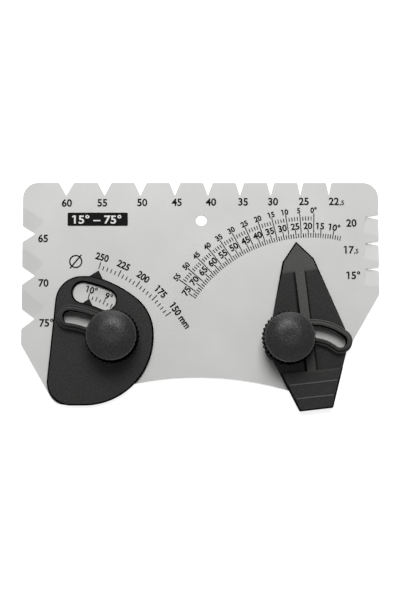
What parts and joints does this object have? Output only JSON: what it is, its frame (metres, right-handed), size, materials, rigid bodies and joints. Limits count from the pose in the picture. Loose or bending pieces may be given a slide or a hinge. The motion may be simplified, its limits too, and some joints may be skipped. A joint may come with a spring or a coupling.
{
  "type": "blade angle gauge",
  "caption": "Flat notched gauge plate with a turning wheel diameter dial, a turning angle pointer and knurled clamp knobs.",
  "frame": {"origin": "centre of the hanging hole on the plate's back face", "axes": "+X along the plate, +Y towards the notched top edge, +Z out of the printed face"},
  "size_m": [0.1429, 0.0918, 0.0182],
  "materials": {
    "plate_steel": "fine satin, bead blasted",
    "stud_steel": "turned, zinc plated",
    "washer_steel": "plain stamped steel",
    "insert_brass": "turned brass",
    "dial_plastic": "fine spark grain, black",
    "pointer_plastic": "fine spark grain, black",
    "knob_plastic": "fine spark grain, black",
    "black_ink": "matte printing ink"
  },
  "bodies": {
    "plate": {"gauge_plate": "plate_steel", "left_clamp_stud": "stud_steel", "right_clamp_stud": "stud_steel", "angle_scale_marks": "black_ink", "offset_scale_marks": "black_ink", "diameter_scale_marks": "black_ink", "window_scale_marks": "black_ink", "diameter_symbol": "black_ink", "title_bar": "black_ink"},
    "dial": {"diameter_dial": "dial_plastic"},
    "pointer": {"angle_pointer": "pointer_plastic"},
    "left_clamp": {"left_knob": "knob_plastic", "left_knob_insert": "insert_brass", "left_washer": "washer_steel"},
    "right_clamp": {"right_knob": "knob_plastic", "right_knob_insert": "insert_brass", "right_washer": "washer_steel"}
  },
  "joints": [
    {"name": "dial_turn", "type": "hinge", "parent": "plate", "child": "dial", "pos_m": [-0.05485, -0.0676, 0.0015], "axis": [0, 0, 1], "range_deg": [-38.7, 1.5]},
    {"name": "pointer_turn", "type": "hinge", "parent": "plate", "child": "pointer", "pos_m": [0.0439, -0.0625, 0.0015], "axis": [0, 0, 1], "range_deg": [-18.3, 71.5]},
    {"name": "left_knob_turn", "type": "hinge", "parent": "plate", "child": "left_clamp", "pos_m": [-0.03498, -0.04717, 0.008], "axis": [0, 0, 1], "continuous": true},
    {"name": "right_knob_turn", "type": "hinge", "parent": "plate", "child": "right_clamp", "pos_m": [0.03434, -0.04784, 0.008], "axis": [0, 0, 1], "continuous": true}
  ]
}
